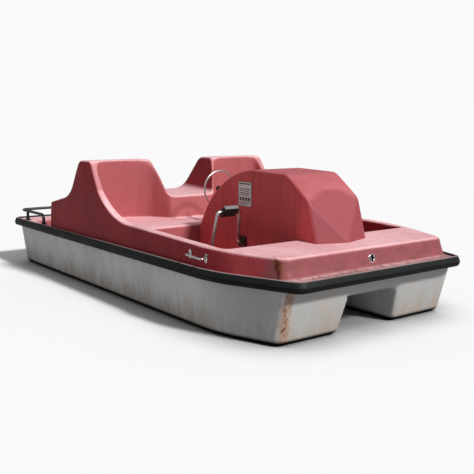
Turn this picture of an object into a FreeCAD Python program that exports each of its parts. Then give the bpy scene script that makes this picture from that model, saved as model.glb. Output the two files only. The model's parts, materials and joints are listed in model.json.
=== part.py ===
import FreeCAD, Part
import math
import os
from FreeCAD import Vector

# Two-seat pedal boat. Millimetres, +X to the bow, +Y to port, +Z up.
# The origin is on the ground plane under the middle of the boat.

# ---------------------------------------------------------------- driving dimensions
RAIL_HALF_BEAM = 803.0
RAIL_HALF_LENGTH = 1665.0
SKIN = 6.0                       # laminate thickness of the mouldings
FIT = 0.06                       # radial running clearance of a shaft in its bore
GAP = 0.5                        # clearance between neighbouring mouldings

HULL_TOP = 333.0                 # underside of the hull's flange
JOINT = HULL_TOP + SKIN          # hull flange meets deck flange
LIP = JOINT + SKIN               # top of the deck's flange
FLANGE_HALF = 788.0
FLANGE_BOW = 1640.0
RAIL_BOTTOM = 297.0
RAIL_TOP = 355.0

BEND_X = 1020.0                  # where the parallel sides start to turn in to the bow
BEND_RADIUS = 850.0
BEND_ANGLE = math.radians(20.0)

TUNNEL_LOW = 212.0               # tunnel half width at the ground
TUNNEL_HIGH = 190.0              # tunnel half width at its roof
TUNNEL_ROOF = 207.0
ROOF_TOP = TUNNEL_ROOF + SKIN

SEAT_TOP = 858.0
BENCH_TOP = 446.0
BENCH_FRONT = 174.0
WELL_FRONT = 1154.0              # forward wall of the footwells
WELL_SIDE = 690.0                # outboard wall of the footwells
WELL_INNER = 218.0               # inboard wall of the footwells
WELL_FLOOR = 100.0
LEDGE = 222.0                    # step in the footwells that carries the paddle housing
BLOCK_REAR = -984.0              # rear wall behind the seats
STERN_WELL_REAR = -1390.0
STERN_WELL_HALF = 715.0
STERN_WELL_FLOOR = 235.0
VALLEY_FLOOR = 600.0             # dip between the two seat backs

HOUSING_HALF = 194.5             # half width of the paddle housing
HOUSING_FOOT = 223.0
TRUNK_HALF = HOUSING_HALF - SKIN - GAP - SKIN
TRUNK_FRONT = 1120.0

AXLE_X = 655.0
AXLE_Z = 391.0
CRANK_THROW = 195.0
CRANK_LEAN = math.radians(5.0)   # the raised throw leans forward at rest
CRANK_RADIUS = 11.0
CRANK_BEND = 22.0
INNER_LEG = 232.0
MIDDLE_LEG_TOP = 395.0
MIDDLE_LEG_LOW = 455.0
OUTER_LEG = 612.0
CRANK_END = 684.0
PEDAL_WIDTH = 99.0
PEDAL_LENGTH = 75.0
PEDAL_THICK = 30.0
PEDAL_TILT = 45.0
INNER_PEDAL = 312.0
OUTER_PEDAL = 533.5

WHEEL_RADIUS = 330.0
WHEEL_HALF = 150.0
DISC_RADIUS = 200.0
BLADES = 6

STEER_X = 134.0
STEER_Z = 667.0
STEER_RING = 122.0
STEER_TUBE = 6.0
COLUMN_RADIUS = 9.0
DRUM_X = 272.0
CABLE_RADIUS = 1.5
DRUM_PITCH = 16.0                # radius of the cable's centre line on the drum and pulleys
RUDDER_PITCH = 60.0              # the same on the rudder's cable wheel
RUDDER_X = -1470.0
PORT_CABLE_Z = 219.0
STARBOARD_CABLE_Z = 225.0

SIDES = {"starboard": -1.0, "port": 1.0}


# ---------------------------------------------------------------- helpers
def box(x0, x1, y0, y1, z0, z1):
    return Part.makeBox(x1 - x0, y1 - y0, z1 - z0, Vector(x0, y0, z0))


def rod(start, end, radius):
    start = Vector(*start)
    way = Vector(*end) - start
    return Part.makeCylinder(radius, way.Length, start, way)


def fuse(shapes):
    result = shapes[0]
    for shape in shapes[1:]:
        result = result.fuse(shape)
    return result.removeSplitter()


def mirrored(point):
    return Vector(point.x, -point.y, point.z)


def line(a, b):
    return Part.makeLine(a, b)


def arc(a, middle, b):
    return Part.Arc(a, middle, b).toShape()


def outline(half, bow, stern, z, bend_x=BEND_X, angle=BEND_ANGLE, bow_corner=60.0, stern_corner=60.0):
    """Symmetrical plan outline: parallel sides, an arc towards the bow, rounded corners."""
    centre = Vector(bend_x, half - BEND_RADIUS, z)

    def on_bend(turn):
        return centre + Vector(math.sin(turn), math.cos(turn), 0) * BEND_RADIUS

    bend_start = on_bend(0.0)
    bend_end = on_bend(angle)
    along = Vector(math.cos(angle), -math.sin(angle), 0)
    corner = bend_end + along * ((bow - bend_end.x) / along.x)
    cut = bow_corner * math.tan((math.pi / 2 - angle) / 2)
    corner_start = corner - along * cut
    corner_end = corner - Vector(0, cut, 0)
    hub = corner_start - Vector(math.sin(angle), math.cos(angle), 0) * bow_corner
    corner_middle = hub + (corner - hub).normalize() * bow_corner
    stern_end = Vector(stern + stern_corner, half, z)
    stern_start = Vector(stern, half - stern_corner, z)
    stern_hub = Vector(stern + stern_corner, half - stern_corner, z)
    stern_middle = stern_hub + Vector(-1, 1, 0).normalize() * stern_corner
    port = [
        arc(stern_start, stern_middle, stern_end),
        line(stern_end, bend_start),
        arc(bend_start, on_bend(angle / 2), bend_end),
        line(bend_end, corner_start),
        arc(corner_start, corner_middle, corner_end),
    ]
    starboard = [
        arc(mirrored(corner_end), mirrored(corner_middle), mirrored(corner_start)),
        line(mirrored(corner_start), mirrored(bend_end)),
        arc(mirrored(bend_end), mirrored(on_bend(angle / 2)), mirrored(bend_start)),
        line(mirrored(bend_start), mirrored(stern_end)),
        arc(mirrored(stern_end), mirrored(stern_middle), mirrored(stern_start)),
    ]
    bow_line = [line(corner_end, mirrored(corner_end))]
    stern_line = [line(mirrored(stern_start), stern_start)]
    return Part.Wire(port + bow_line + starboard + stern_line)


def slab(wire, height):
    return Part.Face(wire).extrude(Vector(0, 0, height))


def loft(wires):
    return Part.makeLoft(wires, True, True)


def bent_rod(points, bends, radius):
    """A round bar along straight runs, with an arc of the given radius at each inner point."""
    points = [Vector(*point) for point in points]
    edges = []
    at = points[0]
    for before, corner, after, bend in zip(points, points[1:], points[2:], bends):
        arriving = (corner - before).normalize()
        leaving = (after - corner).normalize()
        half_turn = arriving.getAngle(leaving) / 2
        cut = bend * math.tan(half_turn)
        arc_start = corner - arriving * cut
        arc_end = corner + leaving * cut
        inward = (leaving - arriving).normalize()
        hub = corner + inward * (bend / math.cos(half_turn))
        edges.append(line(at, arc_start))
        edges.append(arc(arc_start, hub - inward * bend, arc_end))
        at = arc_end
    edges.append(line(at, points[-1]))
    first = points[1] - points[0]
    section = Part.Wire(Part.makeCircle(radius, points[0], first))
    return Part.Wire(edges).makePipeShell([section], True, False)


def screw(point, normal, head_radius, head_height, shank_radius, shank_length, sides=0):
    """A head standing on the surface at a point, with its shank going in against the normal."""
    point = Vector(*point)
    normal = Vector(*normal).normalize()
    shank = Part.makeCylinder(shank_radius, shank_length, point - normal * shank_length, normal)
    if sides == 0:
        head = Part.makeCylinder(head_radius, head_height, point, normal)
    else:
        ring = [Vector(head_radius * math.cos(2 * math.pi * k / sides),
                       head_radius * math.sin(2 * math.pi * k / sides), 0) for k in range(sides)]
        head = Part.Face(Part.makePolygon(ring + ring[:1])).extrude(Vector(0, 0, head_height))
        turn = FreeCAD.Rotation(Vector(0, 0, 1), normal)
        head.Placement = FreeCAD.Placement(point, turn)
    return fuse([shank, head])


NODES = {}


def node(name, *shapes):
    """Keep one named piece, or a group of identical pieces."""
    solids = [solid for shape in shapes for solid in shape.Solids]
    NODES[name] = solids[0] if len(solids) == 1 else Part.makeCompound(solids)
    return NODES[name]


def drill(name, tools):
    """Cut holes for other pieces in a piece that is already kept."""
    shape = NODES[name]
    for tool in tools:
        shape = shape.cut(tool)
    NODES[name] = shape.Solids[0] if len(shape.Solids) == 1 else shape


# ---------------------------------------------------------------- hull
CHINE = 25.0


def hull_form(inset):
    sections = [
        (725.0, 1488.0, -1512.0, inset, 1000.0),
        (745.0, 1510.0, -1552.0, max(CHINE, inset + 1.0), 1000.0),
        (774.0, 1591.0, -1582.0, HULL_TOP + (1.0 if inset else 0.0), BEND_X),
    ]
    wires = [outline(half - inset, bow - inset, stern + inset, z, bend,
                     angle=math.radians(18.5), bow_corner=45.0 - inset, stern_corner=45.0 - inset)
             for half, bow, stern, z, bend in sections]
    return loft(wires)


def tunnel(grow):
    low = TUNNEL_LOW + grow
    high = TUNNEL_HIGH + grow
    roof = TUNNEL_ROOF + grow
    round_off = 20.0
    corners = [Vector(-1700, y, z) for y, z in
               ((-low, -1), (low, -1), (high, roof - round_off), (high - round_off, roof),
                (round_off - high, roof), (-high, roof - round_off))]
    face = Part.Face(Part.makePolygon(corners + corners[:1]))
    return face.extrude(Vector(3400, 0, 0))


def tunnel_flare(grow):
    """The mouth at the bow opens out over its last few centimetres."""
    def frame(x, half, roof):
        corners = [Vector(x, -half, -1), Vector(x, half, -1), Vector(x, half, roof), Vector(x, -half, roof)]
        return Part.makePolygon(corners + corners[:1])
    return loft([frame(1530, TUNNEL_HIGH - 5 + grow, TUNNEL_ROOF - 2 + grow),
                 frame(1600, TUNNEL_LOW + 2 + grow, 262 + grow)])


def trunk_opening():
    return box(BENCH_FRONT + SKIN, TRUNK_FRONT, -TRUNK_HALF, TRUNK_HALF, TUNNEL_ROOF - 10, LIP + 300)


def make_hull():
    outer = hull_form(0.0).cut(tunnel(0.0)).cut(tunnel_flare(0.0))
    inner = hull_form(SKIN).cut(tunnel(SKIN)).cut(tunnel_flare(SKIN))
    shell = outer.cut(inner)
    flange = slab(outline(FLANGE_HALF, FLANGE_BOW, -FLANGE_BOW, HULL_TOP), SKIN)
    inside = slab(outline(774 - SKIN, 1591 - SKIN, SKIN - 1582, HULL_TOP - 1, BEND_X,
                          math.radians(18.5), 39.0, 39.0), SKIN + 2)
    shell = fuse([shell, flange.cut(inside)])
    node("hull_shell", shell.cut(trunk_opening()))


# ---------------------------------------------------------------- deck
def deck_envelope(inset):
    """The flared sides of the deck moulding, from its flange to above the seats."""
    low = JOINT - (10.0 if inset else 0.0)
    sections = [
        (760.0, 1549.0, low, BEND_X),
        (757.0, 1538.0, 392.0, 988.0),
        (755.0, 1508.0, 430.0, 970.0),
        (753.0, 1462.0, 456.0, 956.0),
        (727.0, 1139.0, 900.0, 720.0),
    ]
    return loft([outline(half - inset, bow - inset, BLOCK_REAR + inset, z, bend,
                         bow_corner=70.0 - inset, stern_corner=30.0 - inset)
                 for half, bow, z, bend in sections])


def deck_profile(drop):
    """Side view of the deck's top: foredeck, coaming, wing, seat top, rear slope."""
    def at(x, z):
        return Vector(x, -900, z - drop)
    edges = [
        line(at(-1000, 300), at(-1000, 530)),
        line(at(-1000, 530), at(-760, 580)),
        arc(at(-760, 580), at(-668, 619), at(-606, 690)),
        line(at(-606, 690), at(-540, 812)),
        arc(at(-540, 812), at(-515, 845), at(-478, SEAT_TOP)),
        line(at(-478, SEAT_TOP), at(-366, SEAT_TOP)),
        arc(at(-366, SEAT_TOP), at(-338, 850), at(-322, 832)),
        line(at(-322, 832), at(-214, 668)),
        arc(at(-214, 668), at(-58, 558), at(250, 490)),
        line(at(250, 490), at(WELL_FRONT, 461)),
        line(at(WELL_FRONT, 461), at(1600, 449)),
        line(at(1600, 449), at(1600, 300)),
        line(at(1600, 300), at(-1000, 300)),
    ]
    return Part.Face(Part.Wire(edges)).extrude(Vector(0, 1800, 0))


def seat_cavity(grow):
    """The space over the bench, dished into the two seat backs."""
    def plan(z, points, wing):
        spline = Part.BSplineCurve()
        port = [Vector(x - grow, y, z) for x, y in points]
        side = Vector(wing, WELL_SIDE + grow, z)
        through = [side] + port[::-1] + [mirrored(point) for point in port[1:]] + [mirrored(side)]
        spline.interpolate(through)
        front = Vector(BENCH_FRONT, WELL_SIDE + grow, z)
        return Part.Wire([line(front, side), spline.toShape(),
                          line(mirrored(side), mirrored(front)), line(mirrored(front), front)])
    low = [(-165, 0), (-167, 140), (-185, 190), (-245, 230), (-312, 275), (-360, 330), (-392, 403),
           (-400, 540), (-345, 645)]
    high = [(-235, 0), (-239, 140), (-250, 190), (-274, 230), (-312, 275), (-334, 330), (-343, 403),
            (-345, 540), (-338, 645)]
    return loft([plan(BENCH_TOP - grow, low, -240.0), plan(900, high, -240.0)])


def footwell(side, grow):
    def span(inner, outer):
        return sorted((side * inner, side * outer))
    y0, y1 = span(WELL_INNER - grow, WELL_SIDE + grow)
    main = box(BENCH_FRONT - grow, WELL_FRONT + grow, y0, y1, WELL_FLOOR - grow, 900)
    y0, y1 = span(TRUNK_HALF + SKIN - grow, 240.0)
    ledge = box(BENCH_FRONT - grow, WELL_FRONT + grow, y0, y1, LEDGE - grow, 900)
    upright = [edge for edge in main.Edges
               if abs(edge.tangentAt(edge.FirstParameter).z) > 0.99 and abs(edge.Vertexes[0].Y) > 600]
    return main.makeFillet(40.0 + grow, upright).fuse(ledge)


def valley(grow):
    """The trough between the seat backs."""
    def section(x, low, high, floor):
        corners = [Vector(x, -low, floor), Vector(x, low, floor), Vector(x, high, 900), Vector(x, -high, 900)]
        return Part.makePolygon(corners + corners[:1])
    return loft([section(-1000, 193.0 + grow, 310.0 + grow, VALLEY_FLOOR + 18 - grow),
                 section(-100, 187.0 + grow, 262.0 + grow, VALLEY_FLOOR - grow)])


def stern_well(grow):
    return box(STERN_WELL_REAR - grow, BLOCK_REAR + grow, -STERN_WELL_HALF - grow,
               STERN_WELL_HALF + grow, STERN_WELL_FLOOR - grow, 600)


def make_deck():
    outside = deck_envelope(0.0).common(deck_profile(0.0))
    inside = deck_envelope(SKIN).common(deck_profile(SKIN))
    plate = slab(outline(FLANGE_HALF, FLANGE_BOW, -FLANGE_BOW, JOINT), SKIN).cut(deck_envelope(SKIN))
    under = box(STERN_WELL_REAR - SKIN, 1180, -STERN_WELL_HALF - SKIN, STERN_WELL_HALF + SKIN, 60, LIP)
    trunk = box(BENCH_FRONT, TRUNK_FRONT + SKIN, -TRUNK_HALF - SKIN, TRUNK_HALF + SKIN, ROOF_TOP + GAP, 900)
    form = outside.fuse(under)
    skins = fuse([seat_cavity(SKIN), footwell(-1, SKIN), footwell(1, SKIN), valley(SKIN),
                  stern_well(SKIN), trunk]).common(form)
    shell = outside.cut(inside).fuse(plate).fuse(skins)
    upstand_top = 300.0
    wide = TRUNK_HALF + SKIN + 0.2
    openings = [seat_cavity(0.0), footwell(-1, 0.0), footwell(1, 0.0), valley(0.0), stern_well(0.0),
                trunk_opening(),
                box(BENCH_FRONT, TRUNK_FRONT, -wide, wide, upstand_top, 900),
                box(BENCH_FRONT, BENCH_FRONT + SKIN + 3, -wide, wide, LEDGE, 900),
                box(WELL_FRONT - SKIN - 1.5, WELL_FRONT, -wide, wide, LEDGE, 452)]
    for opening in openings:
        shell = shell.cut(opening)
    node("deck_shell", shell.removeSplitter())


# ---------------------------------------------------------------- paddle housing
def foredeck_z(x):
    return 461.0 - 12.0 * (x - WELL_FRONT) / (1600.0 - WELL_FRONT)


def housing_nose(inset, foot_drop):
    """The faceted front: a sloping top, a plane from brow to foot, and its two cut corners."""
    top_y = HOUSING_HALF - inset
    brow_y = HOUSING_HALF + 3.5 - inset
    foot_y = HOUSING_HALF - inset

    def foot(x, y):
        return Vector(x, y, foredeck_z(x) + 0.4 - foot_drop)
    back = 1057.0
    top = Vector(back, top_y, 822 - inset * 1.1)
    brow = Vector(1240 - inset * 1.3, brow_y, 679 - inset * 0.6)
    peak = Vector(1265 - inset * 1.3, 0, 718 - inset * 1.5)
    heel = foot(back, top_y)
    toe = foot(1310 - inset * 1.2, foot_y)
    tip = foot(1372 - inset * 1.4, 0)
    left = [(top, brow, peak), (brow, tip, peak), (brow, toe, tip), (top, heel, brow), (heel, toe, brow)]
    faces = []
    for a, b, c in left:
        faces.append(Part.Face(Part.makePolygon([a, b, c, a])))
        faces.append(Part.Face(Part.makePolygon([mirrored(a), mirrored(c), mirrored(b), mirrored(a)])))
    faces.append(Part.Face(Part.makePolygon([top, peak, mirrored(top), top])))
    faces.append(Part.Face(Part.makePolygon([top, mirrored(top), mirrored(heel), heel, top])))
    faces.append(Part.Face(Part.makePolygon([heel, mirrored(heel), mirrored(toe), heel])))
    faces.append(Part.Face(Part.makePolygon([heel, mirrored(toe), toe, heel])))
    faces.append(Part.Face(Part.makePolygon([toe, mirrored(toe), tip, toe])))
    solid = Part.Solid(Part.makeShell(faces))
    if solid.Volume < 0:
        solid.reverse()
    lean = (tip.x - brow.x) / (tip.z - brow.z)
    corners = [Vector(brow.x + lean * (900 - brow.z), -300, 900), Vector(1600, -300, 900),
               Vector(1600, -300, 400), Vector(brow.x + lean * (400 - brow.z), -300, 400)]
    ahead = Part.Face(Part.makePolygon(corners + corners[:1])).extrude(Vector(0, 600, 0))
    return solid.cut(ahead)


def housing_form(inset):
    half = HOUSING_HALF - inset
    rear = BENCH_FRONT + 2.0 + inset
    foot = HOUSING_FOOT - (20.0 if inset else 0.0)

    def at(x, z):
        return Vector(x, -half, z)
    edges = [
        line(at(rear, foot), at(rear, 420)),
        arc(at(rear, 420), at(358 + 0.75 * inset, 672 - 0.7 * inset), at(735, 832 - inset)),
        line(at(735, 832 - inset), at(1057.5, 822 - inset * 1.1)),
        line(at(1057.5, 822 - inset * 1.1), at(1057.5, foot)),
        line(at(1057.5, foot), at(rear, foot)),
    ]
    body = Part.Face(Part.Wire(edges)).extrude(Vector(0, 2 * half, 0))
    skirt = box(1057, WELL_FRONT - GAP - inset, -half, half, foot, 465)
    nose = housing_nose(inset, 12.0 if inset else 0.0)
    return body.fuse(nose).fuse(skirt)


def make_housing():
    shell = housing_form(0.0).cut(housing_form(SKIN)).removeSplitter()
    node("paddle_housing", shell)
    drill("paddle_housing", [rod((AXLE_X, -300, AXLE_Z), (AXLE_X, 300, AXLE_Z), 16.0)])
    screws = [screw((x, side * HOUSING_HALF, 262), (0, side, 0), 7.0, 4.0, 3.0, SKIN + GAP + SKIN + 4)
              for side in SIDES.values() for x in (260, 460, 860, 1040)]
    node("housing_screws", *screws)
    drill("paddle_housing", screws)
    drill("deck_shell", screws)
    plate = box(610, 740, -HOUSING_HALF - 1.6, -HOUSING_HALF, 607, 758)
    upright = [edge for edge in plate.Edges if abs(edge.tangentAt(edge.FirstParameter).y) > 0.99]
    node("info_plate", plate.makeFillet(6.0, upright))


# ---------------------------------------------------------------- rub rail and fittings
def make_rub_rail():
    middle = RAIL_HALF_BEAM
    sections = [(13.0, RAIL_BOTTOM), (2.0, 310.0), (0.0, 326.0), (2.0, 342.0), (12.0, RAIL_TOP)]
    body = loft([outline(middle - inset, RAIL_HALF_LENGTH - inset, inset - RAIL_HALF_LENGTH, z,
                         bow_corner=75.0, stern_corner=75.0) for inset, z in sections])
    inner = slab(outline(775.5, 1627, -1627, RAIL_BOTTOM - 1, bow_corner=50.0, stern_corner=50.0), 70)
    slot = slab(outline(FLANGE_HALF + 1, FLANGE_BOW + 1, -FLANGE_BOW - 1, HULL_TOP - 0.3), 2 * SKIN + 0.6)
    node("rub_rail", body.cut(inner).cut(slot).cut(hull_form(0.0)))
    pitch = 330.0
    screws = []
    for side in SIDES.values():
        for k in range(8):
            screws.append(screw((k * pitch - 1440, side * middle, 326), (0, side, 0), 6.0, 1.0, 2.5, 24))
        for y in (0.5 * pitch, 1.5 * pitch):
            screws.append(screw((RAIL_HALF_LENGTH, side * y, 326), (1, 0, 0), 6.0, 1.0, 2.5, 30))
            screws.append(screw((-RAIL_HALF_LENGTH, side * y, 326), (-1, 0, 0), 6.0, 1.0, 2.5, 30))
    node("rub_rail_screws", *screws)
    drill("rub_rail", screws)


def make_stern_rail():
    tube = 11.0
    height = 418.0
    fore = -1147.0
    aft = -1590.0
    half = 742.0
    path = [(fore, -half, LIP + 1), (fore, -half, height), (aft, -half, height), (aft, half, height),
            (fore, half, height), (fore, half, LIP + 1)]
    posts = [rod((-1470, side * half, LIP + 1), (-1470, side * half, height), tube)
             for side in SIDES.values()]
    node("stern_rail", fuse([bent_rod(path, [30, 45, 45, 30], tube)] + posts))
    feet = [(x, side * half) for side in SIDES.values() for x in (fore, -1470)]
    bores = [rod((x, y, LIP), (x, y, LIP + 30), tube + 0.05) for x, y in feet]
    sockets = []
    for (x, y), bore in zip(feet, bores):
        flange = rod((x, y, LIP), (x, y, LIP + 5), 24.0)
        cup = rod((x, y, LIP), (x, y, LIP + 18), 15.0)
        sockets.append(fuse([flange, cup]).cut(bore))
    screws = [screw((x + dx, y, LIP + 5), (0, 0, 1), 4.0, 2.0, 2.0, 14)
              for x, y in feet for dx in (-19.0, 19.0)]
    node("stern_rail_sockets", *sockets)
    drill("stern_rail_sockets", screws)
    drill("deck_shell", screws)
    return screws


def wall_y(x, z):
    """Half width of the deck's side at a place just abaft and ahead of the bend."""
    half = 760.0 - 3.0 * (z - JOINT) / (392.0 - JOINT)
    bend = BEND_X - 32.0 * (z - JOINT) / (392.0 - JOINT)
    over = max(0.0, x - bend)
    return half - (BEND_RADIUS - math.sqrt(BEND_RADIUS ** 2 - over ** 2))


def make_grab_handles(screws):
    bar = 6.0
    stand_off = 37.0
    for name, side in SIDES.items():
        ends = []
        holes = []
        for x, z in ((927.0, 412.0), (1070.0, 405.0)):
            wall = wall_y(x, z)
            foot = box(x - 12, x + 12, wall - 3.0, wall + 4.0, z - 24, z + 24)
            upright = [edge for edge in foot.Edges if abs(edge.tangentAt(edge.FirstParameter).y) > 0.99]
            foot = foot.makeFillet(11.0, upright)
            if side < 0:
                foot = foot.mirror(Vector(0, 0, 0), Vector(0, 1, 0))
            ends.append(foot.cut(deck_envelope(0.0)))
            for dz in (-16.0, 16.0):
                holes.append(screw((x, side * (wall + 4), z + dz), (0, side, 0), 4.0, 2.0, 2.0, 16))
        a = wall_y(927.0, 412.0)
        b = wall_y(1070.0, 405.0)
        path = [(927, side * (a + 1), 412), (927, side * (a + stand_off), 412),
                (1070, side * (b + stand_off + 2), 405), (1070, side * (b + 1), 405)]
        node("grab_handle_" + name, fuse([bent_rod(path, [16, 16], bar)] + ends))
        drill("grab_handle_" + name, holes)
        drill("deck_shell", holes)
        screws.extend(holes)
    node("fitting_screws", *screws)


def make_bow_eye():
    lean = math.radians(14.0)
    normal = Vector(math.cos(lean), 0, math.sin(lean))
    centre = Vector(1536.5, 0, 394)

    def disc(radius, start, end):
        return Part.makeCylinder(radius, end - start, centre + normal * start, normal)
    eye = fuse([disc(25.0, -1, 4), disc(19.0, -26, 2)]).cut(disc(16.0, -23, 5))
    drill("deck_shell", [disc(19.2, -40, 10), disc(25.2, -1, 10)])
    across = normal.cross(Vector(0, 1, 0))
    middle = centre - normal * 8
    pin = Part.makeCylinder(4.0, 33.6, middle - across * 16.8, across)
    node("bow_eye", eye.cut(pin))
    node("bow_eye_pin", pin)


def make_drain_plugs():
    shank = 10.0
    places = [(-1555.6, side * 480, 60) for side in SIDES.values()]
    drill("hull_shell", [rod((x - 40, y, z), (x + 40, y, z), shank + 0.05) for x, y, z in places])
    plugs = [screw(place, (-1, 0, 0), 17.0, 9.0, shank, 24, 6) for place in places]
    node("drain_plugs", *[plug.cut(NODES["hull_shell"]) for plug in plugs])


def make_foam():
    for name, side in SIDES.items():
        y0, y1 = sorted((side * 245, side * 665))
        node("buoyancy_foam_" + name, box(230, 1090, y0, y1, SKIN + 3, WELL_FLOOR - SKIN - 2))


# ---------------------------------------------------------------- crank and pedals
def crank_point(y, reach):
    return (AXLE_X + reach * math.sin(CRANK_LEAN), y, AXLE_Z + reach * math.cos(CRANK_LEAN))


def make_crankshaft():
    route = [(CRANK_END, 0), (OUTER_LEG, 0), (OUTER_LEG, 1), (MIDDLE_LEG_LOW, 1), (MIDDLE_LEG_TOP, -1),
             (INNER_LEG, -1), (INNER_LEG, 0), (-INNER_LEG, 0), (-INNER_LEG, 1), (-MIDDLE_LEG_TOP, 1),
             (-MIDDLE_LEG_LOW, -1), (-OUTER_LEG, -1), (-OUTER_LEG, 0), (-CRANK_END, 0)]
    points = [crank_point(y, reach * CRANK_THROW) for y, reach in route]
    node("crankshaft", bent_rod(points, [CRANK_BEND] * (len(points) - 2), CRANK_RADIUS))


def make_pedals():
    collars = []
    for side_name, side in SIDES.items():
        for place, offset in (("inner", INNER_PEDAL), ("outer", OUTER_PEDAL)):
            reach = CRANK_THROW if (side < 0) == (place == "inner") else -CRANK_THROW
            x, y, z = crank_point(side * offset, reach)
            bore = rod((x, y - 80, z), (x, y + 80, z), CRANK_RADIUS + FIT)
            bolts = []
            for along in (-26.0, 26.0):
                for across in (-32.0, 32.0):
                    bolt = screw((along, across, PEDAL_THICK / 2), (0, 0, 1), 5.0, 3.0, 2.5, PEDAL_THICK - 2)
                    bolts.append(bolt)
            for bolt in bolts:
                bolt.rotate(Vector(0, 0, 0), Vector(0, 1, 0), -PEDAL_TILT)
                bolt.translate(Vector(x, y, z))
            name = "pedal_" + side_name + "_" + place
            for half_name, low in (("face", 0.1), ("back", -PEDAL_THICK / 2)):
                half = box(-PEDAL_LENGTH / 2, PEDAL_LENGTH / 2, -PEDAL_WIDTH / 2, PEDAL_WIDTH / 2,
                           low, low + PEDAL_THICK / 2 - 0.1)
                outer_z = PEDAL_THICK / 2 if low > 0 else -PEDAL_THICK / 2
                rims = [edge for edge in half.Edges
                        if abs(edge.tangentAt(edge.FirstParameter).y) > 0.99
                        and abs(edge.Vertexes[0].Z - outer_z) < 0.01]
                half = half.makeFillet(5.0, rims)
                half.rotate(Vector(0, 0, 0), Vector(0, 1, 0), -PEDAL_TILT)
                half.translate(Vector(x, y, z))
                node(name + "_" + half_name, half.cut(bore))
                drill(name + "_" + half_name, bolts)
            node(name + "_bolts", *bolts)
            for end in (-1, 1):
                start = y + end * (PEDAL_WIDTH / 2 + 0.4)
                stop = start + end * 6.5
                collar = rod((x, start, z), (x, stop, z), 17.0)
                collars.append(collar.cut(rod((x, start - 10, z), (x, start + 10, z), CRANK_RADIUS + 0.02)))
    node("crank_collars", *collars)


def make_bearings():
    caps = []
    bolts = []
    spans = {"inner": (HOUSING_HALF + 0.3, HOUSING_HALF + 14.0), "outer": (WELL_SIDE - 30.0, WELL_SIDE - 0.3)}
    for side_name, side in SIDES.items():
        for place, (near, far) in spans.items():
            y0, y1 = sorted((side * near, side * far))
            bore = rod((AXLE_X, y0 - 1, AXLE_Z), (AXLE_X, y1 + 1, AXLE_Z), CRANK_RADIUS + FIT)
            whole = box(AXLE_X - 38, AXLE_X + 38, y0, y1, AXLE_Z - 32, AXLE_Z + 32)
            corners = [edge for edge in whole.Edges if abs(edge.tangentAt(edge.FirstParameter).y) > 0.99]
            whole = whole.makeFillet(14.0, corners).cut(bore)
            free = side * (far if place == "inner" else near)
            out = side if place == "inner" else -side
            own = [screw((AXLE_X + dx, free, AXLE_Z + dz), (0, out, 0), 5.5, 3.5, 3.0,
                         far - near + SKIN + 4, 6) for dx in (-27, 27) for dz in (-20, 20)]
            bolts.extend(own)
            for bolt in own:
                whole = whole.cut(bolt)
            upper = whole.common(box(0, 1200, -900, 900, AXLE_Z + 0.1, AXLE_Z + 90))
            lower = whole.common(box(0, 1200, -900, 900, AXLE_Z - 90, AXLE_Z - 0.1))
            node("crank_bearing_" + side_name + "_" + place, lower)
            caps.append(upper)
            drill("paddle_housing" if place == "inner" else "deck_shell", own)
    node("crank_bearing_caps", *caps)
    node("crank_bearing_bolts", *bolts)


# ---------------------------------------------------------------- paddle wheel
def about_axle(shape, degrees):
    shape = shape.copy()
    shape.rotate(Vector(0, 0, 0), Vector(0, 1, 0), degrees)
    shape.translate(Vector(AXLE_X, 0, AXLE_Z))
    return shape


def make_paddle_wheel():
    plate = 4.0
    inner = WHEEL_HALF - plate
    hub_radius = 34.0
    bolts = []
    for end in (-1, 1):
        for k in range(4):
            turn = math.radians(45 + 90 * k)
            place = (AXLE_X + 23 * math.cos(turn), end * WHEEL_HALF, AXLE_Z + 23 * math.sin(turn))
            bolts.append(screw(place, (0, end, 0), 5.0, 3.0, 2.5, 24, 6))
    blade_bolts = []
    for end in (-1, 1):
        for reach in (120.0, 175.0):
            blade_bolts.append(screw((reach, end * WHEEL_HALF, 12), (0, end, 0), 5.0, 3.0, 2.5, 12, 6))
    blade = fuse([box(70, WHEEL_RADIUS, -inner, inner, -plate / 2, plate / 2),
                  box(95, 198, -inner, plate - inner, -plate / 2, 24),
                  box(95, 198, inner - plate, inner, -plate / 2, 24)])
    for bolt in blade_bolts:
        blade = blade.cut(bolt)
    for k in range(BLADES):
        turn = 360.0 / BLADES * k + 12.0
        node("paddle_blade_%d" % (k + 1), about_axle(blade, turn))
        bolts.extend(about_axle(bolt, turn) for bolt in blade_bolts)
    shaft = rod((AXLE_X, -160, AXLE_Z), (AXLE_X, 160, AXLE_Z), CRANK_RADIUS + 0.02)
    hub = rod((AXLE_X, -inner, AXLE_Z), (AXLE_X, inner, AXLE_Z), hub_radius).cut(shaft)
    split = box(AXLE_X - 50, AXLE_X + 50, -160, 160, AXLE_Z - 0.2, AXLE_Z + 0.2)
    node("paddle_wheel_hub", hub.cut(split))
    for name, side in SIDES.items():
        disc = rod((AXLE_X, side * inner, AXLE_Z), (AXLE_X, side * WHEEL_HALF, AXLE_Z), DISC_RADIUS)
        windows = [about_axle(rod((88, -200, 0), (88, 200, 0), 28.0), 60.0 * k + 42.0) for k in range(BLADES)]
        disc = disc.cut(shaft)
        for window in windows:
            disc = disc.cut(window)
        node("paddle_disc_" + name, disc)
        drill("paddle_disc_" + name, bolts)
    drill("paddle_wheel_hub", bolts)
    node("paddle_wheel_bolts", *bolts)


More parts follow.
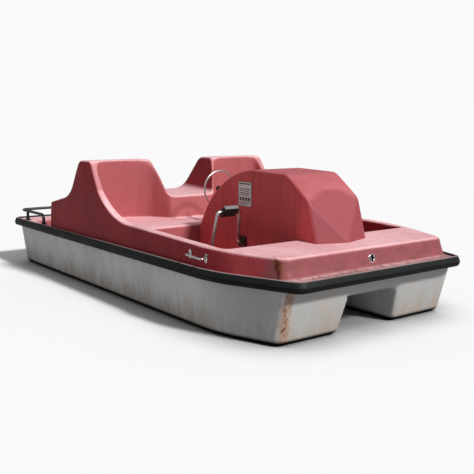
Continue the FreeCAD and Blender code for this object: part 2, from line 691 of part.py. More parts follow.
# ---------------------------------------------------------------- steering
def make_steering():
    rim = Part.makeTorus(STEER_RING, STEER_TUBE, Vector(STEER_X, 0, STEER_Z), Vector(1, 0, 0))
    column = rod((STEER_X - 14, 0, STEER_Z), (396, 0, STEER_Z), COLUMN_RADIUS)
    bore = rod((STEER_X - 40, 0, STEER_Z), (500, 0, STEER_Z), COLUMN_RADIUS + 0.02)
    spokes = []
    for degrees in (-60, -120):
        turn = math.radians(degrees)
        end = (STEER_X, STEER_RING * math.cos(turn), STEER_Z + STEER_RING * math.sin(turn))
        spokes.append(rod((STEER_X, 0, STEER_Z), end, 4.5))
    boss = rod((STEER_X - 12, 0, STEER_Z), (STEER_X + 14, 0, STEER_Z), 20.0)
    node("steering_wheel_rim", rim)
    node("steering_wheel_spider", fuse([boss] + spokes).cut(bore).cut(rim))
    node("steering_column", column)
    sleeve = rod((302, 0, STEER_Z), (386, 0, STEER_Z), 16.0)
    seat = rod((316, 0, STEER_Z), (420, 0, STEER_Z), 27.0).cut(housing_form(0.0))
    running = rod((290, 0, STEER_Z), (400, 0, STEER_Z), COLUMN_RADIUS + FIT)
    node("column_bearing", fuse([sleeve, seat.Solids[0]]).cut(running))
    drill("paddle_housing", [rod((300, 0, STEER_Z), (400, 0, STEER_Z), 16.05)])
    drum = fuse([rod((DRUM_X - 12, 0, STEER_Z), (DRUM_X + 12, 0, STEER_Z), DRUM_PITCH - CABLE_RADIUS - 0.3)]
                + [rod((DRUM_X + x, 0, STEER_Z), (DRUM_X + x + 2, 0, STEER_Z), 21.0) for x in (-12, -1, 10)])
    node("cable_drum", drum.cut(bore))


def make_cables():
    cables = {"port": (1.0, DRUM_X - 5.5, PORT_CABLE_Z), "starboard": (-1.0, DRUM_X + 5.5, STARBOARD_CABLE_Z)}
    routes = []
    for name, (side, x, low) in cables.items():
        near = side * DRUM_PITCH
        far = -side * (RUDDER_PITCH + 3.0)
        top = STEER_Z + DRUM_PITCH
        points = [(x, -near * 0.1, top), (x, near, top), (x, near, low), (200, near, low),
                  (RUDDER_X - RUDDER_PITCH, far, low), (RUDDER_X - RUDDER_PITCH, far * 0.05, low)]
        bends = [DRUM_PITCH - 0.1, DRUM_PITCH - 0.1, 200.0, RUDDER_PITCH - 4]
        routes.append(bent_rod(points, bends, CABLE_RADIUS))
        pulley_x = x - DRUM_PITCH
        pulley_z = low + DRUM_PITCH

        def wheel(radius, y0, y1):
            return rod((pulley_x, near + y0, pulley_z), (pulley_x, near + y1, pulley_z), radius)
        pulley = fuse([wheel(DRUM_PITCH - CABLE_RADIUS - 0.3, -4, 4), wheel(19.0, -4, -2.2), wheel(19.0, 2.2, 4)])
        node("turning_pulley_" + name, pulley.cut(wheel(5.0 + FIT, -10, 10)))
        glands = [rod((150, near * 0.97, low), (195, near * 0.97, low), 4.5)]
        drill("deck_shell", glands)
        drill("paddle_housing", glands + [rod((x, near, 480), (x, near, 640), 4.0)])
    node("steering_cables", *routes)
    plate = box(183, 187, -28, 28, 216, 266)
    ears = [box(186, 268, y0, y1, 224, 262) for y0, y1 in ((-27, -21), (-11, 11), (21, 27))]
    pins = []
    for name, (side, x, low) in cables.items():
        y0, y1 = sorted((side * 5, side * 25))
        pins.append(rod((x - DRUM_PITCH, y0, low + DRUM_PITCH), (x - DRUM_PITCH, y1, low + DRUM_PITCH), 5.0))
    bracket = fuse([plate] + ears + pins)
    for name, (side, x, low) in cables.items():
        bracket = bracket.cut(rod((175, side * 15.6, low), (195, side * 15.6, low), 4.5))
    node("pulley_bracket", bracket)


def make_rudder():
    def disc(radius, z0, z1):
        return rod((RUDDER_X, 0, z0), (RUDDER_X, 0, z1), radius)
    core = RUDDER_PITCH - CABLE_RADIUS - 1.5
    wheel = fuse([disc(core, 215.6, 229), disc(65, 215.6, 216.6), disc(65, 221.5, 222.5), disc(65, 227.4, 228.4),
                  disc(18, 228, 262)])
    stock = disc(10.0, 40, 338)
    bore = disc(10.02, 0, 400)
    node("rudder_cable_wheel", wheel.cut(bore))
    node("rudder_stock", stock)
    foil = [Vector(RUDDER_X + x, y, 35) for x, y in ((34, 0), (22, 10), (0, 14), (-40, 11), (-170, 1.5),
                                                     (-170, -1.5), (-40, -11), (0, -14), (22, -10))]
    blade = Part.Face(Part.makePolygon(foil + foil[:1])).extrude(Vector(0, 0, 150))
    node("rudder_blade", blade.cut(bore))
    running = disc(10.0 + FIT, 190, 345)
    lower = fuse([disc(16, 192, 214), disc(25, 200, 206.6)]).cut(running)
    upper = fuse([disc(16, 312, 338.6), disc(25, 333, 338.6)]).cut(running)
    node("rudder_bushes", lower, upper)
    drill("hull_shell", [disc(16.1, 190, 230)])


# ---------------------------------------------------------------- build
def main():
    make_hull()
    make_deck()
    make_housing()
    make_rub_rail()
    screws = make_stern_rail()
    make_grab_handles(screws)
    make_bow_eye()
    make_drain_plugs()
    make_foam()
    make_crankshaft()
    make_pedals()
    make_bearings()
    make_paddle_wheel()
    make_steering()
    make_cables()
    make_rudder()
    os.makedirs("parts", exist_ok=True)
    for name, shape in NODES.items():
        shape.exportStep("parts/" + name + ".step")
        size = shape.BoundBox
        print("%-34s %2d solids %10.0f mm3  x %.1f %.1f y %.1f %.1f z %.1f %.1f %s" % (
            name, len(shape.Solids), shape.Volume, size.XMin, size.XMax, size.YMin, size.YMax,
            size.ZMin, size.ZMax, "" if shape.isValid() else "INVALID"))


main()
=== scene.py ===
import json
import math

import bpy
import numpy as np
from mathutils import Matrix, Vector


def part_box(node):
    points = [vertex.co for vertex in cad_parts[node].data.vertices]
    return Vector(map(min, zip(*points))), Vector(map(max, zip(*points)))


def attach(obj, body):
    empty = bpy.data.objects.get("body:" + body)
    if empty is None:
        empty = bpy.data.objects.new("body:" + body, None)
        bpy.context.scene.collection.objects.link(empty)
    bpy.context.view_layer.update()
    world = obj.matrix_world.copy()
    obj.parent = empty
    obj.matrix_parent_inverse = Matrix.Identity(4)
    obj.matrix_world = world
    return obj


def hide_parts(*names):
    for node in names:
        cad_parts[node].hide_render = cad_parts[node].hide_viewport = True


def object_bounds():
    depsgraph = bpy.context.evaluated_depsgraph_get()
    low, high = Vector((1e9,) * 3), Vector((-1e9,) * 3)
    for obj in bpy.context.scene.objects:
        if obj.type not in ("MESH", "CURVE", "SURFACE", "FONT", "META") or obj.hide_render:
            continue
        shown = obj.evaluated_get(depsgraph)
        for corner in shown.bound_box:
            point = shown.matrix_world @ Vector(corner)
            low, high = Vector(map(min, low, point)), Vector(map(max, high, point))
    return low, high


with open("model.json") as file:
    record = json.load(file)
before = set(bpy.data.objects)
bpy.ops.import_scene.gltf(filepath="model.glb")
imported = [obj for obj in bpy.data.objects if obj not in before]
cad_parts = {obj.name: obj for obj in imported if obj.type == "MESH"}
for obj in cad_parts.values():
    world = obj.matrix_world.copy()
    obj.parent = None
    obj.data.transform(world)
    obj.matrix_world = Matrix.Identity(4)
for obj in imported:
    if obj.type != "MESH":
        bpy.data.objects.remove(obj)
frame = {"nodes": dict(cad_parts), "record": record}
cad_low, cad_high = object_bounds()

# Two-seat pedal boat. Metres, +X to the bow, +Y to port, +Z up, the ground at z = 0.
# The hull, deck and paddle housing are moulded here with the round edges and swept seats of real
# laminate, and the rub rail, plate and bow eye are made finer; every other piece is the CAD mesh.


# ---------------------------------------------------------------- sizes and places
def span(name):
    """Lowest and highest corner of a CAD node, to a tenth of a millimetre."""
    low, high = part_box(name)
    return [round(v, 4) for v in low], [round(v, 4) for v in high]


hull_low, hull_high = span("hull_shell")
deck_low, deck_high = span("deck_shell")
housing_low, housing_high = span("paddle_housing")
rail_low, rail_high = span("rub_rail")
plate_low, plate_high = span("info_plate")

SKIN = 0.006                           # thickness of the laminate
HULL_TOP = hull_high[2] - SKIN         # underside of the hull's flange
LIP = hull_high[2] + SKIN              # top of the deck's flange
BEND_X = 1.020                         # where the parallel sides start to turn in to the bow
BEND_RADIUS = 0.850
BEND_ANGLE = math.radians(20.0)
HULL_BEND_ANGLE = math.radians(18.5)
IN_SLOT = 0.002                        # how far the flanges reach on into the rub rail's slot
FLANGE = dict(half=hull_high[1] + IN_SLOT, bow=hull_high[0] + IN_SLOT, stern=hull_low[0] - IN_SLOT,
              bend_x=BEND_X)

TUNNEL_LOW = 0.212                     # tunnel half width at the ground
TUNNEL_HIGH = 0.190                    # and at its roof
TUNNEL_ROOF = 0.207
MOUTH_X = 1.530                        # where the tunnel starts to flare open at the bow
MOUTH_RUN = 0.070

SEAT_TOP = deck_high[2]
BENCH_TOP = 0.446
BENCH_FRONT = 0.174
BLOCK_REAR = -0.984                    # rear wall behind the seats
WELL_FRONT = 1.154                     # forward wall of the footwells
WELL_SIDE = 0.690
WELL_INNER = 0.225
WELL_FLOOR = deck_low[2] + SKIN
LEDGE = 0.222                          # step in the footwells that carries the paddle housing
TRUNK_HALF = 0.182                     # opening under the housing, where the paddle wheel turns
TRUNK_REAR = 0.180
TRUNK_FRONT = 1.120
FOREDECK_TOP = 0.461                   # at the footwells; it falls a little towards the bow
FOREDECK_FALL = 0.0269                 # for each metre
STERN_WELL_MIDDLE = -1.175
STERN_WELL_LENGTH = 0.430
STERN_WELL_HALF = 0.715
STERN_WELL_FLOOR = 0.235
VALLEY_HIGH = 0.900                    # height at which the dip's upper widths are given

HOUSING_HALF = -plate_high[1]          # the plate stands on the housing's wall
HOUSING_FOOT = 0.2225
EYE = (1.5370, 0.0, 0.394)             # bow eye, in the sloping bow face
EYE_HOLE = 0.0195
EYE_LEAN = math.radians(14.0)

# Each moulding's walls, as the plan outline's values at a few heights.
HULL_WALLS = dict(height=(0.0, HULL_TOP), half=(0.7427, 0.7740), bow=(1.503, 1.591),
                  stern=(-1.549, -1.582), bend_x=(1.000, 1.020))
DECK_WALLS = dict(height=(0.339, 0.392, 0.456, 0.900), half=(0.760, 0.757, 0.753, 0.727),
                  bow=(1.558, 1.538, 1.524, 1.400), bend_x=(1.020, 0.988, 0.956, 0.720))

# The seat backs' front faces: how far back they stand, outwards from the middle of the boat.
SEAT_ACROSS = (0.0, 0.140, 0.190, 0.230, 0.275, 0.330, 0.403, 0.540, 0.645, 0.700)
SEAT_AT_BENCH = (-0.165, -0.167, -0.185, -0.245, -0.312, -0.360, -0.392, -0.400, -0.352, -0.290)
SEAT_AT_TOP = (-0.235, -0.239, -0.250, -0.274, -0.312, -0.334, -0.343, -0.345, -0.343, -0.315)

# Radius of the deck's outer edge along the boat, and of the hulls' edges by height.
EDGE_ALONG = (-0.70, -0.52, -0.32, -0.10, 0.95, 1.15, 1.30)
EDGE_RADIUS = (0.012, 0.014, 0.015, 0.012, 0.011, 0.013, 0.017)
HULL_EDGE_HEIGHT = (0.0, 0.10, 0.20)
HULL_EDGE_RADIUS = (0.030, 0.016, 0.006)

# Starboard corners that have taken knocks: a leaning line in each, as two points.
DECK_CORNER = ((1.512, -0.611, 0.345), (1.487, -0.628, 0.456))
HULL_CORNER = ((1.486, -0.590, 0.0), (1.568, -0.608, 0.333))

# The rail's section, as (distance in from its outer face, height), with a slot for the flanges.
RAIL_SECTION = [(0.0275, 0.2972), (0.0160, 0.2972), (0.0095, 0.2995), (0.0040, 0.3060),
                (0.0010, 0.3140), (0.0003, 0.3220), (0.0006, 0.3265), (0.0024, 0.3320),
                (0.0088, 0.3480), (0.0120, 0.3535), (0.0150, 0.3548), (0.0275, 0.3548),
                (0.0275, 0.3462), (0.0120, 0.3462), (0.0120, 0.3322), (0.0275, 0.3322)]
RAIL_CORNER = 0.075


# ---------------------------------------------------------------- fields: negative inside
def round_and(a, b, radius):
    """The part inside both, with its edge rounded."""
    u = np.maximum(a + radius, 0.0)
    v = np.maximum(b + radius, 0.0)
    return np.minimum(-radius, np.maximum(a, b)) + np.sqrt(u * u + v * v)


def round_or(a, b, radius):
    """The part inside either, with the corner between them filled."""
    return -round_and(-a, -b, radius)


def overlap(*fields):
    """The part inside all of them, with sharp edges."""
    result = fields[0]
    for field in fields[1:]:
        result = np.maximum(result, field)
    return result


def polygon_field(px, py, points):
    """Signed distance to a closed polygon."""
    best = np.full(px.shape, 1e9)
    inside = np.zeros(px.shape, bool)
    for (ax, ay), (bx, by) in zip(points, points[1:] + points[:1]):
        ex, ey = bx - ax, by - ay
        wx, wy = px - ax, py - ay
        t = np.clip((wx * ex + wy * ey) / (ex * ex + ey * ey), 0.0, 1.0)
        best = np.minimum(best, (wx - ex * t) ** 2 + (wy - ey * t) ** 2)
        if ey != 0.0:
            inside ^= ((ay > py) != (by > py)) & (px < ax + ex * (py - ay) / ey)
    return np.where(inside, -1.0, 1.0) * np.sqrt(best)


def arc_points(a, middle, b, count):
    """Points along the circle through three points, without the last one."""
    (ax, ay), (mx, my), (bx, by) = a, middle, b
    d = 2 * (ax * (my - by) + mx * (by - ay) + bx * (ay - my))
    sa, sm, sb = ax * ax + ay * ay, mx * mx + my * my, bx * bx + by * by
    cx = (sa * (my - by) + sm * (by - ay) + sb * (ay - my)) / d
    cy = (sa * (bx - mx) + sm * (ax - bx) + sb * (mx - ax)) / d
    radius = math.hypot(ax - cx, ay - cy)
    start = math.atan2(ay - cy, ax - cx)
    end = math.atan2(by - cy, bx - cx)
    turn = (end - start + math.pi) % (2 * math.pi) - math.pi
    return [(cx + radius * math.cos(start + turn * k / count),
             cy + radius * math.sin(start + turn * k / count)) for k in range(count)]


def smooth_curve(at, knots, values):
    """Catmull-Rom curve through the knots."""
    knots, values = np.array(knots), np.array(values)
    slope = np.gradient(values, knots)
    k = np.clip(np.searchsorted(knots, at) - 1, 0, len(knots) - 2)
    width = knots[k + 1] - knots[k]
    t = np.clip((at - knots[k]) / width, 0.0, 1.0)
    a = (1 + 2 * t) * (1 - t) ** 2 * values[k] + t * (1 - t) ** 2 * width * slope[k]
    b = t * t * (3 - 2 * t) * values[k + 1] + t * t * (t - 1) * width * slope[k + 1]
    return a + b


def half_outline(half, bow, stern, bend_x, angle=BEND_ANGLE, bow_corner=0.060, stern_corner=0.060):
    """Port half of the plan outline, from the stern round to the bow."""
    hub = (bend_x, half - BEND_RADIUS)
    end = (hub[0] + BEND_RADIUS * math.sin(angle), hub[1] + BEND_RADIUS * math.cos(angle))
    along = (math.cos(angle), -math.sin(angle))
    reach = (bow - end[0]) / along[0]
    corner = (bow, end[1] + along[1] * reach)
    quarter = math.pi / 2 - angle
    cut = bow_corner * math.tan(quarter / 2)
    start = (corner[0] - along[0] * cut, corner[1] - along[1] * cut)
    centre = (start[0] - math.sin(angle) * bow_corner, start[1] - math.cos(angle) * bow_corner)

    points = []
    for k in range(7):
        turn = math.radians(15 * k)
        points.append((stern + stern_corner * (1 - math.cos(turn)),
                       half - stern_corner * (1 - math.sin(turn))))
    for k in range(11):
        turn = angle * k / 10
        points.append((hub[0] + BEND_RADIUS * math.sin(turn), hub[1] + BEND_RADIUS * math.cos(turn)))
    for k in range(9):
        turn = quarter - quarter * k / 8
        points.append((centre[0] + bow_corner * math.cos(turn), centre[1] + bow_corner * math.sin(turn)))
    return points


def closed_outline(points):
    """The whole outline, port half and its mirror image."""
    return points + [(x, -y) for x, y in reversed(points)]


def walls_between(table, **fixed):
    """The plan outline's values at any height, worked out between the heights of the table."""
    rows = {key: row for key, row in table.items() if key != "height"}

    def at(level):
        return {key: np.interp(level, table["height"], row) for key, row in rows.items()} | fixed
    return at


class Grid:
    """Regular samples over half the boat (y >= 0), which is mirrored afterwards."""

    def __init__(self, low, high, step):
        self.step = step
        self.low = np.array([low[0], 0.5 * step, low[2]])
        count = [int(math.ceil((high[k] - self.low[k]) / step)) + 1 for k in range(3)]
        axes = [self.low[k] + step * np.arange(count[k]) for k in range(3)]
        self.x = axes[0][:, None, None]
        self.y = axes[1][None, :, None]
        self.z = axes[2][None, None, :]
        self.axes = axes

    def side_view(self, points):
        """A side-view polygon, drawn out along Y."""
        xs, zs = np.meshgrid(self.axes[0], self.axes[2], indexing="ij")
        return polygon_field(xs, zs, points)[:, None, :]

    def plan(self, shape_at):
        """A plan outline that changes with height: shape_at(z) gives half_outline's values."""
        xs, ys = np.meshgrid(self.axes[0], self.axes[1], indexing="ij")
        layers = []
        for z in self.axes[2]:
            layers.append(polygon_field(xs, ys, closed_outline(half_outline(**shape_at(z)))))
        return np.stack(layers, axis=2)

    def plane(self, a, b, c, inner):
        """A flat face through three points, with the point inner inside."""
        a, b, c, inner = (np.array(p) for p in (a, b, c, inner))
        n = np.cross(b - a, c - a)
        n /= np.linalg.norm(n)
        if (inner - a) @ n > 0:
            n = -n
        return self.x * n[0] + self.y * n[1] + self.z * n[2] - a @ n

    def both_sides(self, field):
        """Adds the starboard half; returns the field and its lowest corner."""
        full = np.concatenate([field[:, ::-1], field], axis=1)
        low = self.low.copy()
        low[1] = -self.axes[1][-1]
        return full, low


def surface_net(field, low, step):
    """Vertices and quads on the field's zero surface."""
    inside = field < 0
    cells = np.zeros(tuple(n - 1 for n in field.shape), np.uint8)
    corners = [(i, j, k) for i in (0, 1) for j in (0, 1) for k in (0, 1)]
    shape = cells.shape
    for i, j, k in corners:
        cells += inside[i:i + shape[0], j:j + shape[1], k:k + shape[2]]
    active = np.argwhere((cells > 0) & (cells < 8))
    index = np.full(shape, -1, np.int64)
    index[tuple(active.T)] = np.arange(len(active))
    value = {c: field[tuple((active + c).T)] for c in corners}
    total = np.zeros((len(active), 3))
    count = np.zeros(len(active))
    for c in corners:
        for axis in range(3):
            if c[axis] == 0:
                d = tuple(1 if a == axis else v for a, v in enumerate(c))
                va, vb = value[c], value[d]
                crossing = (va < 0) != (vb < 0)
                share = np.where(crossing, va / np.where(crossing, va - vb, 1.0), 0.0)
                place = np.tile(np.array(c, float), (len(active), 1))
                place[:, axis] += share
                total += place * crossing[:, None]
                count += crossing
    verts = low + step * (active + total / count[:, None])
    quads = []
    for axis in range(3):
        u, v = (axis + 1) % 3, (axis + 2) % 3
        low_cut = [slice(1, -1)] * 3
        high_cut = [slice(1, -1)] * 3
        low_cut[axis] = slice(0, -1)
        high_cut[axis] = slice(1, None)
        a, b = inside[tuple(low_cut)], inside[tuple(high_cut)]
        cross = np.argwhere(a != b)
        outward = a[tuple(cross.T)]
        base = cross + 1
        base[:, axis] -= 1
        around = []
        for du, dv in ((1, 1), (0, 1), (0, 0), (1, 0)):
            at = base.copy()
            at[:, u] -= du
            at[:, v] -= dv
            around.append(index[tuple(at.T)])
        quad = np.stack(around, axis=1)
        quads.append(np.where(outward[:, None], quad, quad[:, ::-1]))
    return verts, np.concatenate(quads)


def sample(field, low, step, points):
    """The field at any points, between its grid values."""
    at = (points - low) / step
    cell = np.clip(np.floor(at).astype(int), 0, np.array(field.shape) - 2)
    part = at - cell
    total = np.zeros(len(points))
    for corner in np.ndindex(2, 2, 2):
        weight = np.prod(np.abs(1 - np.array(corner) - part), axis=1)
        total += weight * field[tuple((cell + corner).T)]
    return total


# ---------------------------------------------------------------- meshes
def add_mesh(name, verts, faces, smooth=True):
    mesh = bpy.data.meshes.new(name)
    mesh.from_pydata([tuple(v) for v in verts], [], faces)
    if smooth:
        mesh.shade_smooth()
    obj = bpy.data.objects.new(name, mesh)
    bpy.context.scene.collection.objects.link(obj)
    return obj


def apply_all(obj):
    """Applies the object's modifiers in their order."""
    bpy.context.view_layer.objects.active = obj
    for name in [modifier.name for modifier in obj.modifiers]:
        bpy.ops.object.modifier_apply(modifier=name)


def moulding(name, grid, field, keep, keep_share):
    """The kept part of a field's surface, made into a sheet of the laminate's thickness."""
    full, low = grid.both_sides(field)
    verts, faces = surface_net(full, low, grid.step)
    faces = faces[keep(verts[faces].mean(axis=1))]
    used, faces = np.unique(faces, return_inverse=True)
    obj = add_mesh(name, verts[used].tolist(), faces.reshape(-1, 4).tolist())
    thin = obj.modifiers.new("thin", "DECIMATE")
    thin.ratio = keep_share
    sheet = obj.modifiers.new("sheet", "SOLIDIFY")
    sheet.thickness = SKIN
    sheet.offset = -1.0
    apply_all(obj)
    return obj


def grid_faces(rows, columns, close_rows, close_columns):
    """Quads over a rows x columns net of vertices."""
    faces = []
    for i in range(rows if close_rows else rows - 1):
        for j in range(columns if close_columns else columns - 1):
            ni, nj = (i + 1) % rows, (j + 1) % columns
            faces.append((i * columns + j, ni * columns + j, ni * columns + nj, i * columns + nj))
    return faces


def lathe(name, centre, axis, profile, bands, steps=48):
    """Turned piece: profile of (radius, height along the axis); bands gives each ring's material."""
    axis = Vector(axis).normalized()
    side = axis.cross(Vector((0, 1, 0))).normalized()
    other = axis.cross(side)
    verts = []
    for radius, height in profile:
        for k in range(steps):
            turn = 2 * math.pi * k / steps
            outward = side * math.cos(turn) + other * math.sin(turn)
            verts.append(Vector(centre) + axis * height + outward * radius)
    piece = add_mesh(name, verts, grid_faces(len(profile), steps, False, True))
    for k, face in enumerate(piece.data.polygons):
        face.material_index = bands[k // steps]
    return piece


# ---------------------------------------------------------------- hull
def make_hull():
    grid = Grid((-1.67, 0, -0.02), (1.67, 0.81, 0.37), 0.010)
    x, y, z = grid.x, grid.y, grid.z
    walls = walls_between(HULL_WALLS, angle=HULL_BEND_ANGLE, bow_corner=0.045, stern_corner=0.045)
    body = round_and(grid.plan(walls), -z, 0.034)
    flange = overlap(grid.plan(lambda level: FLANGE), HULL_TOP - z)

    half = TUNNEL_LOW - (TUNNEL_LOW - TUNNEL_HIGH) * z / TUNNEL_ROOF
    tunnel = round_and(y - half, z - TUNNEL_ROOF, 0.024)
    flared = np.clip((x - MOUTH_X) / MOUTH_RUN, -0.5, 1.5)
    mouth_half = 0.185 + 0.029 * flared
    mouth_roof = 0.205 + 0.057 * flared
    mouth = round_and(y - mouth_half, z - mouth_roof, 0.010)
    tunnel = np.minimum(tunnel, overlap(mouth, MOUTH_X - 0.005 - x))
    edge = np.interp(z, HULL_EDGE_HEIGHT, HULL_EDGE_RADIUS)
    hull = round_and(np.minimum(body, flange), -tunnel, edge)

    def keep(centre):
        trunk = (centre[:, 0] > TRUNK_REAR) & (centre[:, 0] < TRUNK_FRONT)
        trunk &= (np.abs(centre[:, 1]) < TRUNK_HALF) & (centre[:, 2] > 0.17)
        return (centre[:, 2] < HULL_TOP + 0.0012) & ~trunk
    return moulding("Hull", grid, hull, keep, 0.5)


# ---------------------------------------------------------------- deck
def side_profile():
    """Foredeck, coaming, wing, seat top and rear slope, seen from the side."""
    points = [(-1.000, 0.300), (-1.000, 0.530)]
    points += arc_points((-0.760, 0.580), (-0.668, 0.619), (-0.606, 0.690), 8)
    points += [(-0.606, 0.690)]
    points += arc_points((-0.540, 0.812), (-0.515, 0.845), (-0.478, SEAT_TOP), 8)
    points += [(-0.478, SEAT_TOP)]
    points += arc_points((-0.366, SEAT_TOP), (-0.338, 0.850), (-0.322, 0.832), 6)
    points += [(-0.322, 0.832)]
    points += arc_points((-0.214, 0.668), (-0.058, 0.558), (0.250, 0.490), 14)
    points += [(0.250, 0.490), (WELL_FRONT, FOREDECK_TOP), (1.600, 0.449), (1.600, 0.300)]
    return points


def deck_body(grid):
    """The deck as a solid block on its flange, with the footwells' blocks below it."""
    soft = np.interp(grid.x, EDGE_ALONG, EDGE_RADIUS)
    walls = walls_between(DECK_WALLS, stern=BLOCK_REAR, bow_corner=0.070, stern_corner=0.014)
    body = round_and(grid.plan(walls), grid.side_view(side_profile()), soft)
    flange = overlap(grid.plan(lambda level: FLANGE), grid.z - LIP, 0.300 - grid.z)
    body = round_or(body, flange, 0.005)
    under = overlap(np.abs(grid.x + 0.108) - 1.300, grid.y - 0.730, np.abs(grid.z - 0.205) - 0.135)
    return np.minimum(body, under)


def seat_hollow(grid):
    """The room in front of the two swept seat backs, down to the bench."""
    x, y, z = grid.x, grid.y, grid.z
    at_bench = smooth_curve(y, SEAT_ACROSS, SEAT_AT_BENCH)
    at_top = smooth_curve(y, SEAT_ACROSS, SEAT_AT_TOP)
    up = np.clip((z - BENCH_TOP) / (0.900 - BENCH_TOP), 0.0, 1.0)
    back = at_bench * (1 - up) + at_top * up
    turn = np.gradient(0.5 * (at_bench + at_top), grid.axes[1], axis=1)
    seat = round_and((back - x) / np.sqrt(1 + turn * turn), y - WELL_SIDE, 0.030)
    seat = round_and(seat, BENCH_TOP - z, 0.014)
    return overlap(seat, x - BENCH_FRONT - 0.1)


def well_hollows(grid):
    """Footwells, the ledge under the paddle housing, and the openings inside it."""
    x, y, z = grid.x, grid.y, grid.z
    along = overlap(BENCH_FRONT - x, x - WELL_FRONT)
    well = round_and(along, y - WELL_SIDE, 0.040)
    well = round_and(round_and(well, WELL_FLOOR - z, 0.030), WELL_INNER - y, 0.015)
    ledge = overlap(along, 0.188 - y, y - 0.240, LEDGE - z)
    inside = overlap(BENCH_FRONT - x, x - TRUNK_FRONT, y - 0.210, LEDGE - z)
    trunk = overlap(TRUNK_REAR - x, x - TRUNK_FRONT, y - TRUNK_HALF)
    return np.minimum(np.minimum(well, ledge), np.minimum(inside, trunk))


def valley_hollow(grid):
    """The dip between the two seat backs, wider and deeper-edged towards the stern."""
    forward = np.clip((grid.x + 1.000) / 0.900, 0.0, 1.0)
    floor = 0.618 - 0.018 * forward
    low_half = 0.193 - 0.006 * forward
    high_half = 0.310 - 0.048 * forward
    half = low_half + (high_half - low_half) * (grid.z - floor) / (VALLEY_HIGH - floor)
    return round_and((grid.y - half) * 0.95, floor - grid.z, 0.060 - 0.030 * forward)


def make_deck():
    grid = Grid((-1.68, 0, 0.06), (1.68, 0.82, 0.89), 0.009)
    stern = overlap(np.abs(grid.x - STERN_WELL_MIDDLE) - STERN_WELL_LENGTH / 2, grid.y - STERN_WELL_HALF)
    stern = round_and(stern, STERN_WELL_FLOOR - grid.z, 0.025)
    cavity = round_or(seat_hollow(grid), well_hollows(grid), 0.012)
    cavity = round_or(cavity, valley_hollow(grid), 0.014)
    cavity = np.minimum(cavity, stern)
    deck = round_and(deck_body(grid), -cavity, 0.012)
    cavity_full, low = grid.both_sides(cavity)

    def keep(centre):
        near = np.abs(sample(cavity_full, low, grid.step, centre)) < 0.008
        clear = (np.abs(centre[:, 1]) > 0.219) | (centre[:, 2] > 0.2135)
        from_eye = np.hypot(centre[:, 1], centre[:, 2] - EYE[2])
        eye = (from_eye < EYE_HOLE) & (centre[:, 0] > EYE[0] - 0.03)
        return ((centre[:, 2] > LIP - 0.0012) | (near & clear)) & ~eye
    return moulding("Deck", grid, deck, keep, 0.45)


# ---------------------------------------------------------------- paddle housing
def make_housing():
    grid = Grid((0.150, 0, 0.200), (1.400, 0.215, 0.850), 0.006)
    x, y, z = grid.x, grid.y, grid.z
    rear, roof = housing_low[0], housing_high[2]
    points = [(rear, 0.100), (rear, 0.420)]
    points += arc_points((rear, 0.420), (0.358, 0.672), (0.735, roof), 24)[1:]
    points += [(0.735, roof), (1.0575, 0.822), (1.500, 0.808), (1.500, 0.100)]

    shoulder = (1.0570, HOUSING_HALF, 0.822)
    brow = (1.241, 0.200, 0.684)
    peak = (1.265, 0.0, 0.718)
    toe = (1.310, HOUSING_HALF, 0.4568)
    tip = (housing_high[0], 0.0, 0.4551)
    within = (1.1, 0.0, 0.5)
    other_shoulder, other_brow = ((px, -py, pz) for px, py, pz in (shoulder, brow))
    slope = round_and(grid.plane(shoulder, peak, other_shoulder, within),
                      grid.plane(shoulder, brow, peak, within), 0.010)
    nose = round_and(grid.plane(brow, other_brow, tip, within), grid.plane(brow, toe, tip, within), 0.006)
    front = round_and(slope, nose, 0.010)
    form = round_and(grid.side_view(points), front, 0.010)
    form = round_and(form, y - HOUSING_HALF, 0.009)
    deck_below = FOREDECK_TOP - FOREDECK_FALL * (x - WELL_FRONT) - SKIN
    housing = overlap(form, np.where(x < WELL_FRONT, HOUSING_FOOT, deck_below) - z)
    form_full, low = grid.both_sides(form)

    def keep(centre):
        return np.abs(sample(form_full, low, grid.step, centre)) < 0.0028
    return moulding("Paddle_Housing", grid, housing, keep, 0.5)


# ---------------------------------------------------------------- smaller pieces
def make_rub_rail():
    """The rubber section carried round the plan outline."""
    half = half_outline(rail_high[1], rail_high[0], rail_low[0], BEND_X, bow_corner=RAIL_CORNER,
                        stern_corner=RAIL_CORNER)
    path = np.array(closed_outline(half))
    ahead = np.roll(path, -1, axis=0) - path
    ahead /= np.linalg.norm(ahead, axis=1)[:, None]
    tangent = ahead + np.roll(ahead, 1, axis=0)
    tangent /= np.linalg.norm(tangent, axis=1)[:, None]
    stretch = 1.0 / np.maximum((tangent * ahead).sum(axis=1), 0.5)
    outward = np.stack([-tangent[:, 1], tangent[:, 0]], axis=1)
    verts = []
    for point, out, more in zip(path, outward, stretch):
        for inset, height in RAIL_SECTION:
            verts.append((*(point - out * inset * more), height))
    rail = add_mesh("Rub_Rail", verts, grid_faces(len(path), len(RAIL_SECTION), True, True))
    split = rail.modifiers.new("split", "EDGE_SPLIT")
    split.split_angle = math.radians(50)
    apply_all(rail)
    return rail


def rounded_bar(verts, faces, marks, low, high, radius, mark):
    """Adds a flat plate standing on the starboard wall: rounded in side view, (x, y, z) corners."""
    middles = ((high[0] - radius, high[2] - radius, 0), (low[0] + radius, high[2] - radius, 90),
               (low[0] + radius, low[2] + radius, 180), (high[0] - radius, low[2] + radius, 270))
    ring = []
    for cx, cz, start in middles:
        for k in range(5):
            turn = math.radians(start + 22.5 * k)
            ring.append((cx + radius * math.cos(turn), cz + radius * math.sin(turn)))
    base = len(verts)
    count = len(ring)
    verts += [(x, high[1], z) for x, z in ring] + [(x, low[1], z) for x, z in ring]
    faces.append(tuple(base + count + k for k in range(count)))
    faces.append(tuple(base + k for k in reversed(range(count))))
    for k in range(count):
        after = (k + 1) % count
        faces.append((base + k, base + after, base + count + after, base + count + k))
    marks += [mark] * (count + 2)


